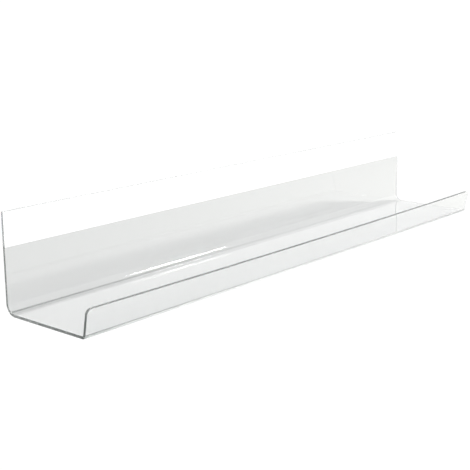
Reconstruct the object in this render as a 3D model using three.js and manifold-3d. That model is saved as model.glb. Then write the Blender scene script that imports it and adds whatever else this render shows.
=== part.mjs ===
// Plate display ledge: one clear acrylic sheet, line-bent twice into a tall back,
// a flat shelf and a short front lip that flares outward.
// Millimetres. +X runs along the ledge, +Y points to the rear, +Z is up.
// The origin is the centre of the underside's bounding box.

import * as THREE from 'three';
import { mergeVertices } from 'three/addons/utils/BufferGeometryUtils.js';
import Module from 'manifold-3d';

// Driving dimensions.
const ledgeLength = 762;
const backHeight = 111.5;
const baseDepth = 124.5;          // rear face to the line where the lip's outer face meets z = 0
const lipLength = 32.5;           // measured up the lip's outer face from z = 0
const lipLeanDegrees = 14;        // outward lean of the lip from upright
const sheetThickness = 3.175;
const backBendInsideRadius = 10;
const frontBendInsideRadius = 1.6;
const lipCornerRadius = 6.35;
const arcSegments = 20;           // straight pieces in each bend of the section
const cornerSegments = 20;        // straight pieces in each rounded lip corner
const cutterClearance = 2;        // how far the corner cutters pass the sheet's faces

// Sizes that follow from the driving dimensions.
const lipLean = THREE.MathUtils.degToRad(lipLeanDegrees);
const lipOverhang = lipLength * Math.sin(lipLean);
const overallDepth = baseDepth + lipOverhang;
const rearY = overallDepth / 2;
const lipFootY = rearY - baseDepth;
const backBendOutsideRadius = backBendInsideRadius + sheetThickness;
const frontBendOutsideRadius = frontBendInsideRadius + sheetThickness;

const wasm = await Module();
wasm.setup();

// The direction that runs up the lip, and the direction that points out of its front face,
// both in the section plane as (y, z).
const upLip = new THREE.Vector2(-Math.sin(lipLean), Math.cos(lipLean));
const outOfLip = new THREE.Vector2(-Math.cos(lipLean), -Math.sin(lipLean));

// Centre of the front bend: its outside radius touches both z = 0 and the lip's outer face.
function frontBendCentre() {
  const radius = frontBendOutsideRadius;
  const y = lipFootY + (radius - radius * Math.sin(lipLean)) / Math.cos(lipLean);
  return new THREE.Vector2(y, radius);
}

// Outline of the bent sheet in the section plane: x of the shape is Y, y of the shape is Z.
function sectionShape() {
  const backCentre = new THREE.Vector2(rearY - backBendOutsideRadius, backBendOutsideRadius);
  const frontCentre = frontBendCentre();
  const outerLipTop = new THREE.Vector2(lipFootY, 0).addScaledVector(upLip, lipLength);
  const innerLipTop = outerLipTop.clone().addScaledVector(outOfLip, -sheetThickness);
  const down = -Math.PI / 2;
  const towardLip = -Math.PI + lipLean;

  const shape = new THREE.Shape();
  shape.moveTo(rearY, backHeight);
  shape.lineTo(rearY - sheetThickness, backHeight);
  shape.lineTo(rearY - sheetThickness, backCentre.y);
  shape.absarc(backCentre.x, backCentre.y, backBendInsideRadius, 0, down, true);
  shape.lineTo(frontCentre.x, sheetThickness);
  shape.absarc(frontCentre.x, frontCentre.y, frontBendInsideRadius, down, towardLip, true);
  shape.lineTo(innerLipTop.x, innerLipTop.y);
  shape.lineTo(outerLipTop.x, outerLipTop.y);
  shape.absarc(frontCentre.x, frontCentre.y, frontBendOutsideRadius, towardLip, down, false);
  shape.lineTo(backCentre.x, 0);
  shape.absarc(backCentre.x, backCentre.y, backBendOutsideRadius, down, 0, false);
  shape.closePath();
  return shape;
}

// The section swept along the whole ledge.
function sweptSheet() {
  const geometry = new THREE.ExtrudeGeometry(sectionShape(), {
    depth: ledgeLength,
    bevelEnabled: false,
    curveSegments: arcSegments,
  });
  const sectionToRow = new THREE.Matrix4().makeBasis(
    new THREE.Vector3(0, 1, 0),
    new THREE.Vector3(0, 0, 1),
    new THREE.Vector3(1, 0, 0),
  );
  geometry.applyMatrix4(sectionToRow);
  geometry.translate(-ledgeLength / 2, 0, 0);
  return geometry;
}

// What a square lip corner loses when it is rounded. Local x runs inward along the ledge from
// its end, local y runs down the lip from its free edge, and both start outside the sheet.
function cornerWasteShape() {
  const radius = lipCornerRadius;
  const outside = -cutterClearance;
  const shape = new THREE.Shape();
  shape.moveTo(outside, outside);
  shape.lineTo(radius, outside);
  shape.lineTo(radius, 0);
  shape.absarc(radius, radius, radius, -Math.PI / 2, -Math.PI, true);
  shape.lineTo(outside, radius);
  shape.closePath();
  return shape;
}

// Cutter for the lip corner at one end: side is -1 for the -X end and +1 for the +X end.
function cornerCutter(side) {
  const geometry = new THREE.ExtrudeGeometry(cornerWasteShape(), {
    depth: sheetThickness + 2 * cutterClearance,
    bevelEnabled: false,
    curveSegments: cornerSegments,
  });
  geometry.translate(0, 0, -sheetThickness - cutterClearance);

  const inward = new THREE.Vector3(-side, 0, 0);
  const downLip = new THREE.Vector3(0, -upLip.x, -upLip.y);
  const outward = new THREE.Vector3(0, outOfLip.x, outOfLip.y);
  const lipCornerToRow = new THREE.Matrix4().makeBasis(inward, downLip, outward);
  lipCornerToRow.setPosition(
    side * ledgeLength / 2,
    lipFootY + upLip.x * lipLength,
    upLip.y * lipLength,
  );
  geometry.applyMatrix4(lipCornerToRow);
  return { geometry, mirrored: lipCornerToRow.determinant() < 0 };
}

// A closed three.js geometry as a manifold solid; mirrored geometry has its triangles turned back.
function toSolid(geometry, mirrored = false) {
  const plain = geometry.clone();
  plain.deleteAttribute('normal');
  plain.deleteAttribute('uv');
  const welded = mergeVertices(plain, 1e-5);
  const triVerts = new Uint32Array(welded.index.array);
  if (mirrored) {
    for (let i = 0; i < triVerts.length; i += 3) {
      [triVerts[i + 1], triVerts[i + 2]] = [triVerts[i + 2], triVerts[i + 1]];
    }
  }
  const vertProperties = new Float32Array(welded.attributes.position.array);
  return new wasm.Manifold(new wasm.Mesh({ numProp: 3, vertProperties, triVerts }));
}

// A manifold solid back as a three.js geometry.
function toGeometry(solid) {
  const mesh = solid.getMesh();
  const geometry = new THREE.BufferGeometry();
  geometry.setAttribute('position', new THREE.BufferAttribute(mesh.vertProperties, 3));
  geometry.setIndex(new THREE.BufferAttribute(mesh.triVerts, 1));
  geometry.computeVertexNormals();
  return geometry;
}

// The whole ledge: the swept sheet with the two free corners of its lip rounded.
function acrylicLedge() {
  let solid = toSolid(sweptSheet());
  for (const side of [-1, 1]) {
    const cutter = cornerCutter(side);
    solid = solid.subtract(toSolid(cutter.geometry, cutter.mirrored));
  }
  const clearAcrylic = new THREE.MeshStandardMaterial({
    color: 0xeef2f1,
    roughness: 0.05,
    metalness: 0,
    transparent: true,
    opacity: 0.3,
  });
  const mesh = new THREE.Mesh(toGeometry(solid), clearAcrylic);
  mesh.name = 'acrylic_ledge';
  return mesh;
}

const group = new THREE.Group();
group.name = 'plate_display_ledge';
group.add(acrylicLedge());

export default group;
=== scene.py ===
# Plate display ledge: one clear acrylic sheet bent along two lines, on a plain pale table.
# Metres, in the frame of the CAD model: +X along the ledge, +Y to the rear, +Z up.

import math

import bpy
from mathutils import Matrix, Vector


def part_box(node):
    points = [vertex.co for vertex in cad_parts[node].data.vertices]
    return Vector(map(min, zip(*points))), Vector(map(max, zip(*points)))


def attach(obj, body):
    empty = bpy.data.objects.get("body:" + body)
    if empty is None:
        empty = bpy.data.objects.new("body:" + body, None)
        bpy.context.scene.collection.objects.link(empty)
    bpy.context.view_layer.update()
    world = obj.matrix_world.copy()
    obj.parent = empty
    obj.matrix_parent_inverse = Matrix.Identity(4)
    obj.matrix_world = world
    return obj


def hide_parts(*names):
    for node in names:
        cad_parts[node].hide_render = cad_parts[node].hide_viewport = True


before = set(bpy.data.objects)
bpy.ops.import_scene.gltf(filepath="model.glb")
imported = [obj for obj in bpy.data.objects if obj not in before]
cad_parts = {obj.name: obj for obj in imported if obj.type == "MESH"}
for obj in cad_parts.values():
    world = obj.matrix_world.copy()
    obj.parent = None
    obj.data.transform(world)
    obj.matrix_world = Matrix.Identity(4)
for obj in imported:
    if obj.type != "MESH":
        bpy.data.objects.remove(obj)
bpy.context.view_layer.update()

# ---------------------------------------------------------------- sizes of the sheet

NODE = "acrylic_ledge"
NODE_LOW, NODE_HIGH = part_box(NODE)
LENGTH = NODE_HIGH.x - NODE_LOW.x
REAR_Y = NODE_HIGH.y
BACK_HEIGHT = NODE_HIGH.z

SHEET = 0.003175                     # sheet thickness
BACK_BEND = 0.010                    # inside radius of the bend under the back
FRONT_BEND = 0.0016                  # inside radius of the bend under the lip
LIP_LENGTH = 0.0325                  # up the lip's outer face from z = 0
LIP_LEAN_MIDDLE = math.radians(14)   # the free lip opens most half way along
LIP_LEAN_ENDS = math.radians(9.6)
LIP_BOW = 0.00137                    # how far the lip's foot bows forward half way along
CORNER = 0.00635                     # radius of the lip's two free corners
CHAMFER = 0.00015                    # the deburred arrises of the cut edge
FOOT_Y = NODE_LOW.y + LIP_LENGTH * math.sin(LIP_LEAN_MIDDLE)   # the lip's foot, half way along

# How finely the sheet is divided.
CORNER_STEPS = 10
LENGTH_STEPS = 60
BACK_STEPS = 12
BACK_BEND_STEPS = 28
SHELF_STEPS = 12
FRONT_BEND_STEPS = 22
LIP_STEPS = 6
SHARP_ANGLE = math.radians(25)       # steeper turns between faces are shaded as an arris

# ---------------------------------------------------------------- the bent sheet


def middle_weight(x):
    """1 half way along the ledge and 0 at its ends."""
    return 1 - (2 * x / LENGTH) ** 2


def rows():
    """The rows of the grid, from the back's top edge to the lip's free edge, as (leg, share)."""
    made = [("back", k / BACK_STEPS) for k in range(BACK_STEPS)]
    made += [("back_bend", k / BACK_BEND_STEPS) for k in range(BACK_BEND_STEPS)]
    made += [("shelf", k / SHELF_STEPS) for k in range(SHELF_STEPS)]
    made += [("front_bend", k / FRONT_BEND_STEPS) for k in range(FRONT_BEND_STEPS)]
    made += [("lip", k / LIP_STEPS) for k in range(LIP_STEPS + 1)]
    return made


def columns():
    """The columns of the grid, from the -X end to the +X end, as (side, angle round the corner) in
    the rounded corners and (0, x) between them."""
    turns = [math.pi / 2 * k / CORNER_STEPS for k in range(CORNER_STEPS + 1)]
    straight = LENGTH - 2 * CORNER
    steps = range(1, LENGTH_STEPS)
    made = [(-1, turn) for turn in turns]
    made += [(0, -straight / 2 + straight * k / LENGTH_STEPS) for k in steps]
    made += [(1, turn) for turn in reversed(turns)]
    return made


def across(column, inset):
    """(x, how far the lip stops short of its full length) for a column of the outline drawn in
    by inset."""
    side, value = column
    if side == 0:
        return value, inset
    radius = CORNER - inset
    x = side * (LENGTH / 2 - CORNER + radius * math.cos(value))
    return x, CORNER - radius * math.sin(value)


def bent_point(row, column, inset, offset):
    """A point of the sheet: offset is how far it lies from the sheet's middle surface, towards the
    side that faces the trough."""
    leg, share = row
    x, short = across(column, inset)
    weight = middle_weight(x)
    lean = LIP_LEAN_ENDS + (LIP_LEAN_MIDDLE - LIP_LEAN_ENDS) * weight
    foot_y = FOOT_Y + LIP_BOW * (1 - weight)
    back_radius = BACK_BEND + SHEET / 2
    front_radius = FRONT_BEND + SHEET / 2
    back_centre_y = REAR_Y - BACK_BEND - SHEET
    back_centre_z = BACK_BEND + SHEET
    outside = FRONT_BEND + SHEET
    front_centre_y = foot_y + outside * (1 - math.sin(lean)) / math.cos(lean)
    if leg == "back":
        top = BACK_HEIGHT - inset
        z = top + (back_centre_z - top) * share
        return Vector((x, REAR_Y - SHEET / 2 - offset, z))
    if leg == "back_bend":
        turn = -math.pi / 2 * share
        radius = back_radius - offset
        y = back_centre_y + radius * math.cos(turn)
        return Vector((x, y, back_centre_z + radius * math.sin(turn)))
    if leg == "shelf":
        y = back_centre_y + (front_centre_y - back_centre_y) * share
        return Vector((x, y, SHEET / 2 + offset))
    if leg == "front_bend":
        turn = -math.pi / 2 - (math.pi / 2 - lean) * share
        radius = front_radius - offset
        y = front_centre_y + radius * math.cos(turn)
        return Vector((x, y, outside + radius * math.sin(turn)))
    up = Vector((0, -math.sin(lean), math.cos(lean)))
    inward = Vector((0, math.cos(lean), math.sin(lean)))
    tangent = outside * math.tan((math.pi / 2 - lean) / 2)
    start = Vector((x, front_centre_y, outside)) - inward * (front_radius - offset)
    return start + up * ((LIP_LENGTH - tangent - short) * share)


def sheet_mesh(name):
    """The whole sheet as one closed mesh: two broad faces, and a cut edge with a small chamfer on
    each side all the way round. Material 0 is the faces and material 1 the cut edge."""
    row_list = rows()
    column_list = columns()
    last_row = len(row_list) - 1
    last_column = len(column_list) - 1
    points = []

    def add(j, i, inset, offset):
        points.append(bent_point(row_list[j], column_list[i], inset, offset))
        return len(points) - 1

    def broad_face(offset):
        grid = []
        for j in range(last_row + 1):
            grid.append([add(j, i, CHAMFER, offset) for i in range(last_column + 1)])
        return grid

    rim = [(0, i) for i in range(last_column)]
    rim += [(j, last_column) for j in range(last_row)]
    rim += [(last_row, i) for i in range(last_column, 0, -1)]
    rim += [(j, 0) for j in range(last_row, 0, -1)]

    inner = broad_face(SHEET / 2)
    outer = broad_face(-SHEET / 2)
    inner_rim = [add(j, i, 0, SHEET / 2 - CHAMFER) for j, i in rim]
    outer_rim = [add(j, i, 0, CHAMFER - SHEET / 2) for j, i in rim]

    faces = []
    slots = []
    flat = [(0, 0)] * 4
    along_edge = []
    for j in range(last_row):
        for i in range(last_column):
            a, b = inner[j][i], inner[j][i + 1]
            c, d = inner[j + 1][i + 1], inner[j + 1][i]
            faces.append((a, d, c, b))
            a, b = outer[j][i], outer[j][i + 1]
            c, d = outer[j + 1][i + 1], outer[j + 1][i]
            faces.append((a, b, c, d))
            slots += [0, 0]
            along_edge += flat + flat
    run = 0
    for k, (j, i) in enumerate(rim):
        n = (k + 1) % len(rim)
        next_j, next_i = rim[n]
        faces.append((inner[j][i], inner[next_j][next_i], inner_rim[n], inner_rim[k]))
        faces.append((inner_rim[k], inner_rim[n], outer_rim[n], outer_rim[k]))
        faces.append((outer_rim[k], outer_rim[n], outer[next_j][next_i], outer[j][i]))
        slots += [0, 1, 0]
        further = run + (points[inner_rim[n]] - points[inner_rim[k]]).length
        low, high = CHAMFER, SHEET - CHAMFER
        along_edge += [(run, 0), (further, 0), (further, low), (run, low)]
        along_edge += [(run, low), (further, low), (further, high), (run, high)]
        along_edge += [(run, high), (further, high), (further, SHEET), (run, SHEET)]
        run = further

    mesh = bpy.data.meshes.new(name)
    mesh.from_pydata(points, [], faces)
    mesh.polygons.foreach_set("material_index", slots)
    mesh.polygons.foreach_set("use_smooth", [True] * len(faces))
    uv_layer = mesh.uv_layers.new(name="along_edge")
    uv_layer.data.foreach_set("uv", [value for pair in along_edge for value in pair])
    mesh.set_sharp_from_angle(angle=SHARP_ANGLE)
    return mesh


# ---------------------------------------------------------------- node helpers


class Shading:
    """A node material, or a world, with short ways to add the nodes that it needs."""

    def __init__(self, holder):
        holder.use_nodes = True
        self.nodes = holder.node_tree.nodes
        self.links = holder.node_tree.links
        self.nodes.clear()

    def put(self, value, socket):
        """Feeds a socket with a value or with the output of another node."""
        if isinstance(value, bpy.types.NodeSocket):
            self.links.new(value, socket)
        else:
            socket.default_value = value

    def add(self, kind, settings=None, **inputs):
        """A new node. settings are its properties and inputs its sockets, by name with _ for a
        space; an input is a value or the output of another node."""
        node = self.nodes.new(kind)
        for name, value in (settings or {}).items():
            setattr(node, name, value)
        for name, value in inputs.items():
            self.put(value, node.inputs[name.replace("_", " ")])
        return node

    def math(self, operation, first, second=0.0):
        """The output of a Math node."""
        node = self.nodes.new("ShaderNodeMath")
        node.operation = operation
        self.put(first, node.inputs[0])
        self.put(second, node.inputs[1])
        return node.outputs[0]

    def ramp(self, value, low, high, at_low, at_high, shape="SMOOTHSTEP"):
        """value carried from low..high to at_low..at_high, and held beyond both ends."""
        node = self.add(
            "ShaderNodeMapRange", {"interpolation_type": shape},
            Value=value, From_Min=low, From_Max=high, To_Min=at_low, To_Max=at_high,
        )
        return node.outputs["Result"]

    def mix(self, factor, first, second):
        """A colour that goes from first to second as factor goes from 0 to 1."""
        node = self.add(
            "ShaderNodeMix", {"data_type": "RGBA"}, Factor=factor, A=first, B=second,
        )
        return node.outputs["Result"]

    def finish(self, shader, kind="ShaderNodeOutputMaterial"):
        """Joins the shader to a new output node."""
        output = self.nodes.new(kind)
        self.links.new(shader.outputs[0], output.inputs["Surface"])


# ---------------------------------------------------------------- materials of the sheet


ACRYLIC_IOR = 1.49
CLEAR_TINT = (0.984, 0.987, 0.987, 1)

# The faint waviness of the faces.
WAVES_PER_METRE = 14.0
WAVE_DETAIL = 1.0
WAVE_ROUGHNESS = 0.4
WAVE_HEIGHT = 0.00003

# Painted shade darkens the outside of the front bend, which is also a little frosted.
FRONT_BEND_PAINTED_SHADE = (0.27, 0.29, 0.285, 1)
FRONT_BEND_ROUGHNESS = 0.4
FRONT_SHADE_FULL_Y = FOOT_Y + 0.0020  # counted without the bow of the lip's foot
FRONT_SHADE_NONE_Y = FOOT_Y + 0.0032
FRONT_SHADE_FULL_Z = 0.0036
FRONT_SHADE_NONE_Z = 0.0050

# Painted shade: a dark line along the outside of the back's bend.
BACK_LINE_PAINTED_SHADE = (0.10, 0.115, 0.11, 1)
BACK_LINE_Z = 0.0025
BACK_LINE_HALF = 0.0014
BACK_LINE_FULL_Y = REAR_Y - 0.012
BACK_LINE_NONE_Y = REAR_Y - 0.014

# Both painted shades are full at the -X end and fade to a share of themselves towards +X.
SHADE_FULL_X = -0.38
SHADE_FADED_X = 0.05
SHADE_FADED = 0.12


def clear_acrylic():
    """The broad faces: clear, glossy and very slightly wavy, with painted shade on the outside of
    both bends."""
    material = bpy.data.materials.new("clear_acrylic")
    shading = Shading(material)
    place = shading.add("ShaderNodeTexCoord").outputs["Object"]
    waves = shading.add(
        "ShaderNodeTexNoise",
        Vector=place, Scale=WAVES_PER_METRE, Detail=WAVE_DETAIL, Roughness=WAVE_ROUGHNESS,
    ).outputs["Fac"]
    bump = shading.add("ShaderNodeBump", Height=waves, Strength=1.0, Distance=WAVE_HEIGHT)
    where = shading.add("ShaderNodeSeparateXYZ", Vector=place)
    x = where.outputs["X"]
    y = where.outputs["Y"]
    z = where.outputs["Z"]
    # the painted shade is darkest at the -X end and lighter towards +X
    shade_fading = shading.ramp(x, SHADE_FULL_X, SHADE_FADED_X, 1.0, SHADE_FADED, "LINEAR")

    bow = shading.math("MULTIPLY", shading.math("MULTIPLY", x, x), 4 * LIP_BOW / LENGTH ** 2)
    unbowed = shading.math("SUBTRACT", y, bow)
    front = shading.ramp(unbowed, FRONT_SHADE_NONE_Y, FRONT_SHADE_FULL_Y, 0.0, 1.0)
    low = shading.ramp(z, FRONT_SHADE_NONE_Z, FRONT_SHADE_FULL_Z, 0.0, 1.0)
    # where painted shade darkens the outside of the front bend, which also sets its frosting
    bend_shade_and_frost = shading.math("MULTIPLY", front, low)
    tint_and_shade = shading.mix(shading.math("MULTIPLY", bend_shade_and_frost, shade_fading), CLEAR_TINT, FRONT_BEND_PAINTED_SHADE)

    # painted shade line along the outside of the back's bend
    rear = shading.ramp(y, BACK_LINE_NONE_Y, BACK_LINE_FULL_Y, 0.0, 1.0)
    off = shading.math("ABSOLUTE", shading.math("SUBTRACT", z, BACK_LINE_Z))
    line = shading.ramp(off, BACK_LINE_HALF, 0.0, 0.0, 1.0)
    line = shading.math("MULTIPLY", line, rear)
    tint_and_shade = shading.mix(shading.math("MULTIPLY", line, shade_fading), tint_and_shade, BACK_LINE_PAINTED_SHADE)
    shader = shading.add(
        "ShaderNodeBsdfPrincipled",
        Base_Color=tint_and_shade,
        Roughness=shading.math("MULTIPLY", bend_shade_and_frost, FRONT_BEND_ROUGHNESS),
        IOR=ACRYLIC_IOR,
        Transmission_Weight=1.0,
        Normal=bump.outputs["Normal"],
    )
    shading.finish(shader)
    return material


# Painted light and shade on the cut edge: a dark tone for its shade and a light one where it is
# painted lit.
EDGE_SHADE = (0.036, 0.042, 0.040, 1)
EDGE_LIT = (0.75, 0.78, 0.77, 1)

# Fine stripes across the cut edge, mixed with broader patches along it.
STRIPES_PER_METRE = 1800
STRIPE_WAVES_PER_METRE = 60          # along each stripe, across the sheet's thickness
STRIPE_DETAIL = 2.0
STRIPE_ROUGHNESS = 0.6
STRIPE_SHARE = 0.6
STRIPE_BUMP = 0.5
STRIPE_HEIGHT = 0.00004
PATCHES_PER_METRE = 45.0
PATCH_DETAIL = 2.0
PATCH_ROUGHNESS = 0.5
MARKS_LOW = 0.3                      # the range of the mixed marks that shows
MARKS_HIGH = 0.7
EDGE_GRAIN = 0.02                    # how far the marks move the edge's tone each way
EDGE_SMOOTH = 0.06                   # the edge's roughness where the marks are low
EDGE_ROUGH = 0.16                    # and where they are high

# Where painted light makes the edge paler, as a share of the way from the dark edge tone to the
# light one.
BACK_PALE_NONE_Z = 0.070             # the upper part of the back's edge
BACK_PALE_FULL_Z = 0.078
SHELF_PALE = 0.09                    # a little on the two ends behind the lip
SHELF_PALE_FULL_Y = FOOT_Y + 0.010
REAR_PALE = 0.18                     # and more towards the rear
LIP_PALE = 0.12                      # a little on the lip's free edge towards -X
LIP_PALE_NONE_Z = 0.024
LIP_PALE_FULL_Z = 0.030
LIP_PALE_FULL_X = -0.25
LIP_PALE_NONE_X = -0.05


def edge_marks(shading):
    """(stripes, stripes mixed with patches) of the cut edge, by the place along it."""
    place = shading.add("ShaderNodeUVMap", {"uv_map": "along_edge"}).outputs["UV"]
    stretched = shading.add(
        "ShaderNodeMapping",
        Vector=place, Scale=(STRIPES_PER_METRE, STRIPE_WAVES_PER_METRE, 1.0),
    ).outputs[0]
    stripes = shading.add(
        "ShaderNodeTexNoise",
        Vector=stretched, Scale=1.0, Detail=STRIPE_DETAIL, Roughness=STRIPE_ROUGHNESS,
    ).outputs["Fac"]
    patches = shading.add(
        "ShaderNodeTexNoise",
        Vector=place, Scale=PATCHES_PER_METRE, Detail=PATCH_DETAIL, Roughness=PATCH_ROUGHNESS,
    ).outputs["Fac"]
    marks = shading.math(
        "ADD",
        shading.math("MULTIPLY", stripes, STRIPE_SHARE),
        shading.math("MULTIPLY", patches, 1 - STRIPE_SHARE),
    )
    return stripes, marks


def painted_edge_light(shading):
    """Painted light on the cut edge: how pale it is, by the place on the sheet."""
    place = shading.add("ShaderNodeTexCoord").outputs["Object"]
    where = shading.add("ShaderNodeSeparateXYZ", Vector=place)
    x = where.outputs["X"]
    y = where.outputs["Y"]
    z = where.outputs["Z"]
    upper = shading.ramp(z, BACK_PALE_NONE_Z, BACK_PALE_FULL_Z, 0.0, 1.0)
    behind_lip = shading.ramp(y, FOOT_Y, SHELF_PALE_FULL_Y, 0.0, SHELF_PALE)
    rearward = shading.ramp(y, FOOT_Y, REAR_Y, 0.0, REAR_PALE, "LINEAR")
    ends = shading.math("ADD", behind_lip, rearward)
    left = shading.ramp(x, LIP_PALE_FULL_X, LIP_PALE_NONE_X, LIP_PALE, 0.0, "LINEAR")
    high = shading.ramp(z, LIP_PALE_NONE_Z, LIP_PALE_FULL_Z, 0.0, 1.0)
    on_lip = shading.math("MULTIPLY", left, high)
    return shading.math("MAXIMUM", upper, shading.math("ADD", ends, on_lip))


def cut_edge():
    """The cut edge: finely striped across the sheet and slightly matt, in a dark tone of painted
    shade made paler in places by painted light.
    """
    material = bpy.data.materials.new("acrylic_cut_edge")
    shading = Shading(material)
    stripes, marks = edge_marks(shading)
    grain = shading.ramp(marks, MARKS_LOW, MARKS_HIGH, -EDGE_GRAIN, EDGE_GRAIN)
    # painted light and shade on the edge, with the marks' grain on top
    tone = shading.mix(shading.math("ADD", painted_edge_light(shading), grain), EDGE_SHADE, EDGE_LIT)
    bump = shading.add(
        "ShaderNodeBump", Height=stripes, Strength=STRIPE_BUMP, Distance=STRIPE_HEIGHT,
    )
    shader = shading.add(
        "ShaderNodeBsdfPrincipled",
        Base_Color=tone,
        Roughness=shading.ramp(marks, MARKS_LOW, MARKS_HIGH, EDGE_SMOOTH, EDGE_ROUGH),
        IOR=ACRYLIC_IOR,
        Transmission_Weight=1.0,
        Normal=bump.outputs["Normal"],
    )
    shading.finish(shader)
    return material


# ---------------------------------------------------------------- stage

TABLE_BACK = 0.2387                  # how far the table runs behind the back's rear face
TABLE_HALF = 6.0                     # how far it runs to the front and the sides
TABLE_GAP = 0.0002                   # under the ledge
TABLE_COLOUR = (0.570, 0.577, 0.574, 1)
PURE_WHITE = (1.05, 1.05, 1.05, 1)
STUDIO_COLOUR = (1.0, 1.0, 1.0, 1)
LOW_WALL = 1.25                      # brightness of the studio below the horizon
WALL = 1.2                           # and above it
HORIZON_FROM = -0.05                 # rise of a direction, as the height of its unit vector
HORIZON_TO = 0.10
BOX_PLACE = (0.87, -0.54, 0.84)
BOX_SIZE = 0.21
BOX_POWER = 8.0                      # watts
BOX_COLOUR = (1.0, 0.98, 0.94)
LIGHT_BOUNCES = 400


def white_when_direct(shading, seen_in_sheet):
    """The shader for what stands around the ledge: pure white where the camera sees it directly,
    as in a cut-out, and seen_in_sheet where it shows through or in the sheet."""
    white = shading.add("ShaderNodeEmission", Color=PURE_WHITE)
    path = shading.add("ShaderNodeLightPath")
    mix = shading.add("ShaderNodeMixShader", Fac=path.outputs["Is Camera Ray"])
    shading.links.new(seen_in_sheet.outputs[0], mix.inputs[1])
    shading.links.new(white.outputs[0], mix.inputs[2])
    return mix


def table_material():
    """Plain and matt, in a pale grey."""
    material = bpy.data.materials.new("white_table")
    shading = Shading(material)
    matt = shading.add("ShaderNodeBsdfDiffuse", Color=TABLE_COLOUR)
    shading.finish(white_when_direct(shading, matt))
    return material


def make_table():
    """The table top, whose far edge shows through the sheet."""
    far = REAR_Y + TABLE_BACK
    half = TABLE_HALF
    mesh = bpy.data.meshes.new("table_top")
    corners = [(-half, -half, 0), (half, -half, 0), (half, far, 0), (-half, far, 0)]
    mesh.from_pydata(corners, [], [(0, 1, 2, 3)])
    mesh.materials.append(table_material())
    table = bpy.data.objects.new("table_top", mesh)
    table.location.z = -TABLE_GAP
    bpy.context.collection.objects.link(table)


def make_world():
    """Even, soft light from the walls of a white studio."""
    world = bpy.data.worlds.new("white_studio")
    shading = Shading(world)
    direction = shading.add("ShaderNodeTexCoord").outputs["Generated"]
    up = shading.add("ShaderNodeSeparateXYZ", Vector=direction).outputs["Z"]
    level = shading.ramp(up, HORIZON_FROM, HORIZON_TO, LOW_WALL, WALL)
    walls = shading.add("ShaderNodeBackground", Color=STUDIO_COLOUR, Strength=level)
    shading.finish(white_when_direct(shading, walls), "ShaderNodeOutputWorld")
    bpy.context.scene.world = world


def make_soft_box():
    """A square soft box, high to the right of the ledge's front and turned to the ledge."""
    data = bpy.data.lights.new("soft_box", "AREA")
    data.size = BOX_SIZE
    data.energy = BOX_POWER
    data.color = BOX_COLOUR
    light = bpy.data.objects.new("soft_box", data)
    bpy.context.collection.objects.link(light)
    light.location = BOX_PLACE
    light.rotation_euler = (-light.location).to_track_quat("-Z", "Y").to_euler()


# ---------------------------------------------------------------- camera

CAMERA_AZIMUTH = math.radians(-49.387)
CAMERA_ELEVATION = math.radians(13.615)
CAMERA_ROLL = math.radians(-0.297)
CAMERA_DISTANCE = 1.2533
CAMERA_TARGET = Vector((-0.0834, 0.0046, 0.04055))
CAMERA_LENS = 78.77                  # millimetres
SENSOR_WIDTH = 36                    # millimetres


def make_camera():
    """The viewpoint: low, to the left of the ledge's front."""
    level = math.cos(CAMERA_ELEVATION)
    back = Vector((
        math.sin(CAMERA_AZIMUTH) * level,
        -math.cos(CAMERA_AZIMUTH) * level,
        math.sin(CAMERA_ELEVATION),
    ))
    right = Vector((0, 0, 1)).cross(back).normalized()
    up = back.cross(right)
    turned_right = right * math.cos(CAMERA_ROLL) + up * math.sin(CAMERA_ROLL)
    turned_up = up * math.cos(CAMERA_ROLL) - right * math.sin(CAMERA_ROLL)
    data = bpy.data.cameras.new("camera")
    data.lens = CAMERA_LENS
    data.sensor_width = SENSOR_WIDTH
    camera = bpy.data.objects.new("camera", data)
    bpy.context.collection.objects.link(camera)
    turn = Matrix((turned_right, turned_up, back)).transposed()
    camera.rotation_mode = "QUATERNION"
    camera.rotation_quaternion = turn.to_quaternion()
    camera.location = CAMERA_TARGET + back * CAMERA_DISTANCE
    bpy.context.scene.camera = camera


# ---------------------------------------------------------------- putting it together


def make_ledge():
    """The visible sheet, which stands in for its CAD solid."""
    mesh = sheet_mesh("clear_ledge")
    ledge = bpy.data.objects.new("clear_ledge", mesh)
    bpy.context.collection.objects.link(ledge)
    mesh.materials.append(clear_acrylic())
    mesh.materials.append(cut_edge())
    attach(ledge, "root")
    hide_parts(NODE)


make_camera()
make_ledge()
make_table()
make_world()
make_soft_box()
bpy.context.scene.view_settings.view_transform = "Standard"

# Light runs a long way between the two faces of a clear sheet before it leaves at an edge.
bpy.context.scene.cycles.max_bounces = LIGHT_BOUNCES
bpy.context.scene.cycles.glossy_bounces = LIGHT_BOUNCES
bpy.context.scene.cycles.transmission_bounces = LIGHT_BOUNCES

# The table under a clear shelf is lit through it, so sharp refraction stays sharp.
bpy.context.scene.cycles.blur_glossy = 0.0
